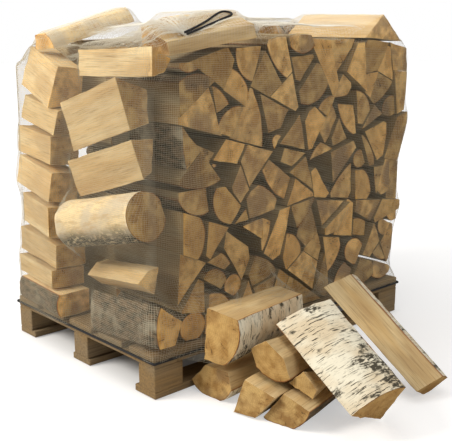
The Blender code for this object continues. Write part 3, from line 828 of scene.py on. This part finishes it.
def trunk_of(corners, rng):
    """Where a log's pith was, its round's radius, and its flat sides, from the corners of its end."""
    count = len(corners)
    turn = 1 if area_of(flat(corners)) > 0 else -1
    barked = [k for k in range(count) if corners[k][2] > 0]
    flats = [side for k, side in enumerate(sides_of(flat(corners))) if k not in barked]
    if not barked:
        way = rng.uniform(0, 2 * math.pi)
        away = rng.uniform(*PITH_AWAY)
        pith = moved(middle_of(corners), (math.cos(way), math.sin(way)), away)
        radius = max(math.dist(pith, corner[:2]) for corner in corners) + SAPWOOD_EDGE + 0.002
        return pith, radius, flats, turn, False
    first = next(k for k in barked if (k - 1) % count not in barked)
    last = first
    while last % count in barked:
        last += 1
    start, end = corners[first][:2], corners[last % count][:2]
    if last - first > 1:
        crest = corners[(first + 1) % count][:2]
    else:
        crest = moved(middle_of((start, end)), inward(start, end), -turn * corners[first][2])
    pith, radius = circle_through(start, crest, end)
    return pith, radius, flats, turn, True


def slice_off(point, normal):
    bpy.ops.mesh.select_all(action="SELECT")
    bpy.ops.mesh.bisect(plane_co=point, plane_no=normal, use_fill=True, clear_outer=True)


def cut_across(point, normal):
    bpy.ops.mesh.select_all(action="SELECT")
    bpy.ops.mesh.bisect(plane_co=point, plane_no=normal)


def is_outer(a, b, rim):
    """Whether a log's side from a to b looks out of the stack."""
    normal = inward(a, b)
    for start, end in zip(rim, rim[1:]):
        outside = inward(start, end)
        near = max(depth_of(a, start, outside), depth_of(b, start, outside)) < 0.05
        if near and normal[0] * outside[0] + normal[1] * outside[1] > 0.9:
            return True
    return False


def split_log(
    corners, length, rng, looks, cuts, sides,
    start=0.0, far_scale=(1, 1), gap=0.0, chips=0, rim=(), tones=(0, 1),
):
    """A round of birch that lies along Y, split down to its corners. looks: for split faces and bark."""
    pith, radius, flats, turn, has_bark = trunk_of(corners, rng)
    radius -= gap
    bpy.ops.object.select_all(action="DESELECT")
    bpy.ops.mesh.primitive_cylinder_add(
        vertices=sides, radius=radius, depth=length,
        location=(pith[0], start + length / 2, pith[1]), rotation=(math.pi / 2, 0, 0),
    )
    log = bpy.context.object
    bpy.ops.object.transform_apply()
    wear(log, looks[0], SAWN, looks[1])
    mode("EDIT")
    for a, b in flats:
        into = inward(a, b)
        out = (-turn * into[0], -turn * into[1])
        room = 0.0 if is_outer(a, b, rim) else gap
        slice_off((a[0] - out[0] * room, start, a[1] - out[1] * room), (out[0], 0, out[1]))
    middle = middle_of(corners)
    for corner in rng.sample(corners, min(chips, len(corners))):
        reach = math.dist(corner[:2], middle)
        way = math.atan2(corner[1] - middle[1], corner[0] - middle[0]) + rng.uniform(-0.4, 0.4)
        cut = rng.uniform(*HOLE_CUT) * min(1, reach / 0.075)
        out = (math.cos(way), math.sin(way))
        slice_off((corner[0] - out[0] * cut, start, corner[1] - out[1] * cut), (out[0], 0, out[1]))
    if gap:
        lean = rng.uniform(-END_LEAN, END_LEAN), rng.uniform(-END_LEAN, END_LEAN)
        slice_off((middle[0], start + 0.004, middle[1]), (lean[0], -1, lean[1]))
    mode("OBJECT")
    record_surface(log, pith, radius, has_bark, rng.uniform(*tones), rng)
    mode("EDIT")
    if far_scale != (1, 1):
        bpy.ops.mesh.select_all(action="DESELECT")
        mode("OBJECT")
        for vertex in log.data.vertices:
            vertex.select = vertex.co.y > start + length / 2
        mode("EDIT")
        bpy.ops.transform.resize(
            value=(far_scale[0], 1, far_scale[1]), center_override=(0, start + length, 0),
        )
    along, wide = cuts
    for k in range(1, along):
        cut_across((0, start + length * k / along, 0), (0, 1, 0))
    low, high = log_reach(corners)
    for axis in (0, 1):
        for k in range(1, wide + 1):
            share = k / (wide + 1)
            place = low[axis] + (high[axis] - low[axis]) * share
            point = (place, 0, 0) if axis == 0 else (0, 0, place)
            cut_across(point, (1, 0, 0) if axis == 0 else (0, 0, 1))
    mode("OBJECT")
    return log


def log_reach(corners):
    low = [min(corner[axis] for corner in corners) for axis in (0, 1)]
    return low, [max(corner[axis] for corner in corners) for axis in (0, 1)]


def record_surface(log, pith, radius, has_bark, tone, rng):
    """Marks each face as split, sawn or bark, and keeps where each point was in the trunk."""
    mesh = log.data
    count = len(mesh.vertices)
    points = np.empty(count * 3)
    mesh.vertices.foreach_get("co", points)
    points = points.reshape(-1, 3)
    seed = rng.uniform(0, 40)
    x = points[:, 0] - pith[0]
    z = points[:, 2] - pith[1]
    reach = np.hypot(x, z)
    middle = np.array([x.mean(), z.mean()])
    facing = math.atan2(middle[1], middle[0])
    turn = (np.arctan2(z, x) - facing + math.pi) % (2 * math.pi) - math.pi
    wood = np.column_stack((x, points[:, 1] + seed, z))
    skin = np.column_stack((turn * radius + seed, points[:, 1] + seed, np.full(count, seed)))
    look = np.tile((tone, radius if has_bark else NO_BARK, seed), (count, 1))
    for name, values in (("wood", wood), ("skin", skin), ("look", look)):
        layer = mesh.attributes.new(name, "FLOAT_VECTOR", "POINT")
        layer.data.foreach_set("vector", values.astype(np.float32).ravel())
    for face in mesh.polygons:
        if abs(face.normal.y) > SAWN_FACING:
            face.material_index = 1
        elif has_bark and all(reach[k] > radius * 0.985 for k in face.vertices):
            face.material_index = 2
        else:
            face.material_index = 0


def roughen(piece, strength, size, stretch=1.0, turn=(0, 0, 0)):
    """Splitting and handling leave no face quite flat. The unevenness is drawn out along the fibres."""
    texture = bpy.data.textures.new("unevenness", "CLOUDS")
    texture.noise_scale = size
    texture.noise_depth = 3
    grain = in_scene("grain", None)
    grain.rotation_mode = "YXZ"
    grain.rotation_euler = turn
    grain.scale = (1, stretch, 1)
    bpy.context.view_layer.update()
    work_on(piece)
    uneven = piece.modifiers.new("uneven", "DISPLACE")
    uneven.texture = texture
    uneven.texture_coords = "OBJECT"
    uneven.texture_coords_object = grain
    uneven.strength = strength
    uneven.mid_level = 0.5
    bpy.ops.object.modifier_apply(modifier=uneven.name)
    bpy.data.objects.remove(grain)
    low, high = CAD_BOX
    for vertex in piece.data.vertices:
        for axis in (0, 1, 2):
            vertex.co[axis] = min(max(vertex.co[axis], low[axis] + GROUND), high[axis] - GROUND)


def soften(piece, width):
    work_on(piece)
    edge = piece.modifiers.new("worn edges", "BEVEL")
    edge.width = width
    edge.segments = 1
    edge.limit_method = "ANGLE"
    edge.angle_limit = math.radians(35)
    bpy.ops.object.modifier_apply(modifier=edge.name)


def smooth_by_angle(piece, degrees=32):
    work_on(piece)
    bpy.ops.object.shade_smooth_by_angle(angle=math.radians(degrees))


def bundle_piece(logs, near, rim, rng, name, node):
    """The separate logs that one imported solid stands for."""
    made = []
    for corners, end_step, length_step in logs:
        back = rng.uniform(0, SET_BACK)
        outside = any(is_outer(a, b, rim) for a, b in sides_of(flat(corners)))
        length = LOG_LENGTH - end_step - length_step - back
        gap = OUTER_LOG_GAP if outside else rng.uniform(*LOG_GAPS)
        chips = 0 if outside else rng.choice(HOLE_COUNTS)
        # The stacked logs' split faces wear the darker copy, which is painted shade
        made.append(split_log(
            corners, length, rng, (PAINTED_SHADE_SPLIT, GREY_BARK), STACKED_CUTS, STACKED_SIDES,
            start=near + end_step + back, gap=gap, chips=chips, rim=rim,
        ))
    work_on(*made)
    bpy.ops.object.join()
    piece = bpy.context.object
    piece.location = CORNER
    bpy.ops.object.transform_apply()
    roughen(piece, STACKED_UNEVEN, 0.03, 6)
    smooth_by_angle(piece, 40)
    return finished(piece, name, [node])


def stack_pieces():
    halves = (
        ("front", FRONT_LEFT, FRONT_RIM, FRONT_SEED, 0.0),
        ("back", BACK_LEFT, BACK_RIM, BACK_SEED, PALLET_WIDTH - LOG_LENGTH),
    )
    pieces = []
    for half, left, rim, seed, near in halves:
        rng = random.Random(seed)
        dress = random.Random(seed + DRESS_SEED)
        sides = (*rim, (left, STACK_FLOOR))
        for k, logs in enumerate(stack_half(left, rim, rng), 1):
            names = (f"stacked_logs_{half}_{k}", f"packed_logs_{half}_{k}")
            pieces.append(bundle_piece(logs, near, sides, dress, *names))
    return pieces


def single_log(row, rng, cuts, bark, tones):
    """A log of its own, turned and put where its row says."""
    name, corners, near_end, heading, pitch, roll, length = row[:7]
    far_scale = row[7] if len(row) > 7 else (1, 1)
    corners = BARKED_SIDES.get(name, corners)
    log = split_log(
        corners, length, rng, (SPLIT, bark), cuts, PLACED_SIDES, far_scale=far_scale, tones=tones,
    )
    turn = (math.radians(pitch), math.radians(roll), math.radians(heading))
    log.rotation_mode = "YXZ"
    log.rotation_euler = turn
    log.location = CORNER + Vector(near_end)
    work_on(log)
    bpy.ops.object.transform_apply()
    soften(log, WORN_EDGE)
    roughen(log, LOG_UNEVEN, 0.02, 7, turn)
    roughen(log, LOG_UNEVEN, 0.05, 2, turn)
    smooth_by_angle(log)
    return finished(log, "birch_" + name, [name])


def log_pieces():
    rng = random.Random(LOGS_SEED)
    barks = dict.fromkeys(("corner_log_1", "loose_log_4", "loose_log_3", "side_log_1"), GREY_BARK)
    barks["corner_log_3"] = WORN_BARK
    barks |= {row[0]: WORN_BARK for row in TOP_LOGS}
    pieces = []
    for rows, cuts, tones in (
        (CORNER_LOGS + FAR_LOGS + TOP_LOGS, PLACED_LOG_CUTS, PLACED_LOG_TONES),
        (LOOSE_LOGS, LOOSE_LOG_CUTS, LOOSE_LOG_TONES),
    ):
        for row in rows:
            pieces.append(single_log(row, rng, cuts, barks.get(row[0], WHITE_BARK), tones))
    return pieces


def pallet_pieces():
    """Each board and block as a sawn piece with worn edges and a slight warp."""
    pieces = []
    for name in sorted(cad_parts):
        if not name.startswith("pallet_"):
            continue
        low, high = (Vector(corner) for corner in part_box(name))
        size = high - low
        deselect()
        bpy.ops.mesh.primitive_cube_add(size=1, location=(low + high) / 2)
        piece = bpy.context.object
        piece.scale = size
        bpy.ops.object.transform_apply()
        mode("EDIT")
        for axis in (0, 1):
            normal = (1, 0, 0) if axis == 0 else (0, 1, 0)
            parts = max(1, round(size[axis] / BOARD_CUT))
            for k in range(1, parts):
                point = list(low)
                point[axis] += size[axis] * k / parts
                cut_across(point, normal)
        mode("OBJECT")
        soften(piece, BOARD_EDGE)
        wear(piece, TIMBER)
        roughen(piece, 0.003, 0.09)
        smooth_by_angle(piece)
        pieces.append(finished(piece, name.replace("pallet_", "timber_"), [name]))
    return pieces


# Net


def tree_of(pieces):
    """All the logs as one surface to lay the net on."""
    points, faces = [], []
    for piece in pieces:
        base = len(points)
        points += [tuple(vertex.co) for vertex in piece.data.vertices]
        faces += [tuple(base + k for k in face.vertices) for face in piece.data.polygons]
    return BVHTree.FromPolygons(points, faces)


def widened(field):
    """A field in which each point takes the highest of its neighbours."""
    padded = np.pad(field, 1, mode="edge")
    return np.maximum.reduce([
        padded[1:-1, 1:-1], padded[:-2, 1:-1], padded[2:, 1:-1], padded[1:-1, :-2], padded[1:-1, 2:],
    ])


def smoothed(field):
    padded = np.pad(field, 1, mode="edge")
    around = padded[:-2, 1:-1] + padded[2:, 1:-1] + padded[1:-1, :-2] + padded[1:-1, 2:]
    return (padded[1:-1, 1:-1] * 2 + around) / 6


def taut(field, reach, rounds):
    """A field pulled tight over its high points and smoothed between them."""
    wide = field.copy()
    for _ in range(reach):
        wide = widened(wide)
    for _ in range(rounds):
        wide = smoothed(wide)
    return np.maximum(wide, field)


def sample(field, row, column):
    row = min(max(row, 0), field.shape[0] - 1.001)
    column = min(max(column, 0), field.shape[1] - 1.001)
    i, j = int(row), int(column)
    a, b = row - i, column - j
    return (
        field[i, j] * (1 - a) * (1 - b) + field[i + 1, j] * a * (1 - b)
        + field[i, j + 1] * (1 - a) * b + field[i + 1, j + 1] * a * b
    )


class NetSurface:
    """How far out the net stands around the stack, by place and height, and how high it lies over it."""

    def __init__(self, tree):
        self.cord = smooth_route(DRAWCORD_ROUTE, DRAWCORD_POINTS)
        shares = [k / OUTLINE_POINTS for k in range(OUTLINE_POINTS)]
        self.around = [(share, *self.outline(share)[0]) for share in shares]
        self.sides = self.measure_sides(tree)
        self.over = self.measure_top(tree)

    def outline(self, share):
        """A point and outward direction on the stack's rounded outline."""
        (x0, y0), (x1, y1), r = NET_LOW, NET_HIGH, NET_BEND
        runs = [(x1 - x0 - 2 * r), (y1 - y0 - 2 * r)] * 2
        arc = math.pi / 2 * r
        total = sum(runs) + 4 * arc
        place = (share % 1.0) * total
        starts = (
            ((x0 + r, y0), (1, 0), (0, -1)),
            ((x1, y0 + r), (0, 1), (1, 0)),
            ((x1 - r, y1), (-1, 0), (0, 1)),
            ((x0, y1 - r), (0, -1), (-1, 0)),
        )
        centres = ((x1 - r, y0 + r), (x1 - r, y1 - r), (x0 + r, y1 - r), (x0 + r, y0 + r))
        for k in range(4):
            if place <= runs[k]:
                start, way, out = starts[k]
                return (start[0] + way[0] * place, start[1] + way[1] * place), out
            place -= runs[k]
            if place <= arc:
                angle = math.radians(-90 + 90 * k) + place / r
                out = (math.cos(angle), math.sin(angle))
                return (centres[k][0] + out[0] * r, centres[k][1] + out[1] * r), out
            place -= arc
        return self.outline(0.0)

    def measure_sides(self, tree):
        rows = round((NET_TOP - NET_FLOOR) / NET_STEP) + 1
        field = np.full((rows, NET_COLUMNS), -0.03)
        for i in range(rows):
            z = NET_FLOOR + (NET_TOP - NET_FLOOR) * i / (rows - 1)
            for j in range(NET_COLUMNS):
                (x, y), out = self.outline(j / NET_COLUMNS)
                for shift in (-0.008, 0.0, 0.008):
                    start = Vector((*moved((x, y), out, RAY_START), z + shift)) + CORNER
                    hit = tree.ray_cast(start, Vector((-out[0], -out[1], 0)), RAY_LENGTH)
                    if hit[0] is not None:
                        field[i, j] = max(field[i, j], RAY_START - hit[3])
        pulled = taut(np.concatenate((field, field, field), axis=1), 1, 3)[:, NET_COLUMNS:2 * NET_COLUMNS]
        return np.concatenate((pulled, pulled[:, :1]), axis=1) + NET_CLEAR

    def grid_place(self, i, j):
        nx, ny = TOP_GRID
        x = NET_LOW[0] - TOP_MARGIN + (NET_HIGH[0] - NET_LOW[0] + 2 * TOP_MARGIN) * i / (nx - 1)
        y = NET_LOW[1] - TOP_MARGIN + (NET_HIGH[1] - NET_LOW[1] + 2 * TOP_MARGIN) * j / (ny - 1)
        return x, y

    def measure_top(self, tree):
        """Between its high points the net hangs a little under the straight line from one to the next."""
        nx, ny = TOP_GRID
        field = np.full((nx, ny), ABOVE_ALL - TOP_RAY)
        down = Vector((0, 0, -1))
        cells = [(i, j) for i in range(nx) for j in range(ny)]
        for cell in cells:
            hit = tree.ray_cast(Vector((*self.grid_place(*cell), ABOVE_ALL)) + CORNER, down, TOP_RAY)
            if hit[0] is not None:
                field[cell] = ABOVE_ALL - hit[3]
        field = widened(field)
        shape = bmesh.new()
        for cell in cells:
            shape.verts.new((*self.grid_place(*cell), field[cell]))
        bmesh.ops.convex_hull(shape, input=shape.verts)
        tent = BVHTree.FromBMesh(shape)
        shape.free()
        over = field.copy()
        for cell in cells:
            hit = tent.ray_cast(Vector((*self.grid_place(*cell), 2)), down)
            if hit[0] is not None:
                over[cell] += TAUTNESS * max(0, hit[0].z - field[cell])
        return smoothed(over) + NET_CLEAR

    def under_cord(self, x, y):
        """The drawcord lies on the net, so the net stays below it."""
        return min(
            z - DRAWCORD_RADIUS - CORD_CLEAR + 1.1 * max(0, math.dist((x, y), (a, b)) - 0.012)
            for a, b, z in self.cord
        )

    def height(self, x, y):
        """The net's height over the stack, with folds that run to where it is gathered."""
        nx, ny = TOP_GRID
        i = (x - NET_LOW[0] + TOP_MARGIN) / (NET_HIGH[0] - NET_LOW[0] + 2 * TOP_MARGIN) * (nx - 1)
        j = (y - NET_LOW[1] + TOP_MARGIN) / (NET_HIGH[1] - NET_LOW[1] + 2 * TOP_MARGIN) * (ny - 1)
        away = math.dist((x, y), GATHER)
        turn = math.atan2(y - GATHER[1], x - GATHER[0])
        wave = abs(math.sin(turn * FOLDS / 2 + 0.7 * math.sin(turn * 5) + away * 3))
        fold = FOLD_HEIGHT * wave * min(1, away / 0.06) * max(0, 1 - away / FOLD_REACH)
        peak = GATHER_PEAK[1] * max(0, 1 - away / GATHER_PEAK[0])
        return min(sample(self.over, i, j) + fold + peak, self.under_cord(x, y))

    def side_point(self, share, z):
        place, out = self.outline(share)
        row = (z - NET_FLOOR) / (NET_TOP - NET_FLOOR) * (self.sides.shape[0] - 1)
        far = sample(self.sides, row, (share % 1.0) * (self.sides.shape[1] - 1))
        return Vector((*moved(place, out, far), z))

    def rim(self, share):
        """Where the net turns over the top edge."""
        place, out = self.outline(share)
        return self.height(*moved(place, out, -RIM_INSET)) - RIM_DROP

    def edge_point(self, axis, value, far_side):
        """The point of the net's rim at a given place along one axis, on the near or the far side."""
        other = 1 - axis
        middle = (NET_LOW[other] + NET_HIGH[other]) / 2
        half = [spot for spot in self.around if (spot[1 + other] > middle) == far_side]
        share = min(half, key=lambda spot: abs(spot[1 + axis] - value))[0]
        return self.side_point(share, self.rim(share))

    def crossing(self, axis, value):
        """A strand over the top from the near rim to the far one, at a given place along one axis."""
        start = self.edge_point(axis, value, False)
        end = self.edge_point(axis, value, True)
        steps = max(4, round((end - start).length / 0.014))
        route = [start]
        for k in range(1, steps):
            spot = start.lerp(end, k / steps)
            route.append(Vector((spot.x, spot.y, self.height(spot.x, spot.y))))
        return route + [end]


def in_scene(name, data):
    thing = bpy.data.objects.new(name, data)
    bpy.context.scene.collection.objects.link(thing)
    return thing


def round_lines(name, routes, radius, roundness, closed):
    """One curve object with a round line along each route."""
    curve = bpy.data.curves.new(name, "CURVE")
    curve.dimensions = "3D"
    curve.bevel_depth = radius
    curve.bevel_resolution = roundness
    curve.use_fill_caps = not closed
    for route in routes:
        line = curve.splines.new("POLY")
        line.points.add(len(route) - 1)
        for point, place in zip(line.points, route):
            point.co = (*(CORNER + Vector(place)), 1)
        line.use_cyclic_u = closed
    return in_scene(name, curve)


def strands(name, routes, closed=False):
    """Thin strands along the given routes, as one mesh."""
    work_on(round_lines(name, routes, STRAND, 0, closed))
    bpy.ops.object.convert(target="MESH")
    piece = bpy.context.object
    wear(piece, NET)
    return finished(piece, name, ["net"])


def net_pieces(tree):
    surface = NetSurface(tree)
    around = 2 * (PALLET_LENGTH + PALLET_WIDTH)
    upright_count = int(around / MESH_SIZE)
    uprights = []
    for k in range(upright_count):
        share = k / upright_count
        rim = surface.rim(share)
        steps = int((rim - NET_FLOOR) / 0.03)
        heights = [NET_FLOOR + (rim - NET_FLOOR) * i / steps for i in range(steps + 1)]
        uprights.append([surface.side_point(share, z) for z in heights])
    pieces = []
    quarter = upright_count // 4 + 1
    for k in range(4):
        pieces.append(strands(f"net_uprights_{k + 1}", uprights[k * quarter:(k + 1) * quarter]))
    shares = [k / HOOP_POINTS for k in range(HOOP_POINTS)]
    hoops = []
    z = NET_FLOOR + 0.002
    while z < HOOP_TOP:
        hoops.append([surface.side_point(share, min(z, surface.rim(share))) for share in shares])
        z += MESH_SIZE
    half = len(hoops) // 2 + 1
    for k in range(2):
        pieces.append(strands(f"net_hoops_{k + 1}", hoops[k * half:(k + 1) * half], closed=True))
    for axis, name in ((0, "net_over_short_way"), (1, "net_over_long_way")):
        low, high = NET_LOW[axis] + 0.004, NET_HIGH[axis] - 0.004
        count = int((high - low) / MESH_SIZE)
        routes = [surface.crossing(axis, low + (high - low) * k / count) for k in range(count + 1)]
        pieces.append(strands(name, routes))
    pieces.append(strands("net_gathered_folds", gathered(surface)))
    return pieces


def gathered(surface):
    """Where the net is drawn together its strands run close side by side, out and down from there."""
    rng = random.Random(PLEAT_SEED)
    routes = []
    for k in range(PLEATS):
        way = 2 * math.pi * (k + rng.random()) / PLEATS
        reach = rng.uniform(*PLEAT_REACH)
        route = []
        for step in range(PLEAT_STEPS + 1):
            away = 0.004 + reach * step / PLEAT_STEPS
            bend = way + 0.1 * math.sin(away * 40 + k)
            x, y = moved(GATHER, (math.cos(bend), math.sin(bend)), away)
            room = min(x - NET_LOW[0], NET_HIGH[0] - x, y - NET_LOW[1], NET_HIGH[1] - y)
            if room < NET_ROOM:
                break
            route.append(Vector((x, y, surface.height(x, y) + 0.0006)))
        if len(route) > 2:
            routes.append(route)
    return routes


def cord_piece(name, route, radius, closed, node):
    """A cord along its route, in the source's own places."""
    piece = round_lines(name, [route], radius, 3, closed)
    piece.data.materials.append(CORD)
    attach(piece, "root")
    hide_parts(node)
    return piece


# Camera, light and floor


def set_camera():
    data = bpy.data.cameras.new("camera")
    data.lens = CAMERA_LENS
    data.sensor_width = 36
    data.sensor_fit = "HORIZONTAL"
    camera = in_scene("camera", data)
    camera.location = CORNER + Vector(CAMERA_PLACE)
    camera.rotation_euler = (math.radians(90 - CAMERA_PITCH), 0, math.radians(-CAMERA_YAW))
    bpy.context.scene.camera = camera


def add_light(name, place, target, size, power, colour):
    data = bpy.data.lights.new(name, "AREA")
    data.shape = "DISK"
    data.size = size
    data.energy = power
    data.color = colour
    light = in_scene(name, data)
    light.location = place
    light.rotation_euler = (Vector(target) - Vector(place)).to_track_quat("-Z", "Y").to_euler()


def set_stage():
    world = bpy.data.worlds.new("studio")
    bpy.context.scene.world = world
    world.use_nodes = True
    tree = world.node_tree
    seen = tree.nodes.new("ShaderNodeLightPath").outputs["Is Camera Ray"]
    strength = tree.nodes.new("ShaderNodeMapRange")
    tree.links.new(seen, strength.inputs[0])
    strength.inputs[3].default_value = WORLD_STRENGTH
    strength.inputs[4].default_value = 1.0
    tree.nodes["Background"].inputs[0].default_value = (1, 1, 1, 1)
    tree.links.new(strength.outputs[0], tree.nodes["Background"].inputs[1])
    bpy.context.scene.view_settings.view_transform = "Standard"
    add_light("window_left", (-3.4, 1.3, 2.9), (-0.3, 0.1, 0.6), 2.0, KEY_POWER, (1, 0.965, 0.9))
    add_light("ceiling", (0.2, -0.6, 4.5), (0, -0.2, 0), 5.0, TOP_POWER, (1, 0.99, 0.97))
    add_light("window_front", (-0.9, -4.4, 3.1), (0.1, 0, 0.5), 2.6, FILL_POWER, (1, 0.97, 0.93))
    deselect()
    bpy.ops.mesh.primitive_plane_add(size=40, location=(0, 0, -0.001))
    floor = bpy.context.object
    floor.name = "studio_floor"
    bpy.ops.object.transform_apply()
    wear(floor, painted_light_floor())


set_camera()
SPLIT = split_face("split_birch", 1.0)
# A darker copy of the split finish for the stacked logs: painted shade for faces inside the stack
PAINTED_SHADE_SPLIT = split_face("split_birch_painted_shade", 0.46)
SAWN = end_grain()
WHITE_BARK = white_bark()
GREY_BARK = grey_bark()
WORN_BARK = worn_bark()
TIMBER = pallet_timber()
NET = net_strand()
CORD = plain("braided_cord", CORD_BLACK, 0.6, 1.6, 300)

cord_route = smooth_route(DRAWCORD_ROUTE, DRAWCORD_POINTS)
drawcord = cord_piece("drawcord_loop", cord_route, DRAWCORD_RADIUS, False, "drawcord")
cord_piece("hem_cord", hem_route(), HEM_RADIUS, True, "net_hem")
logs = stack_pieces() + log_pieces()
boards = [piece for piece in pallet_pieces() if "block" not in piece.name and "foot" not in piece.name]
net_pieces(tree_of(logs + boards))
set_stage()
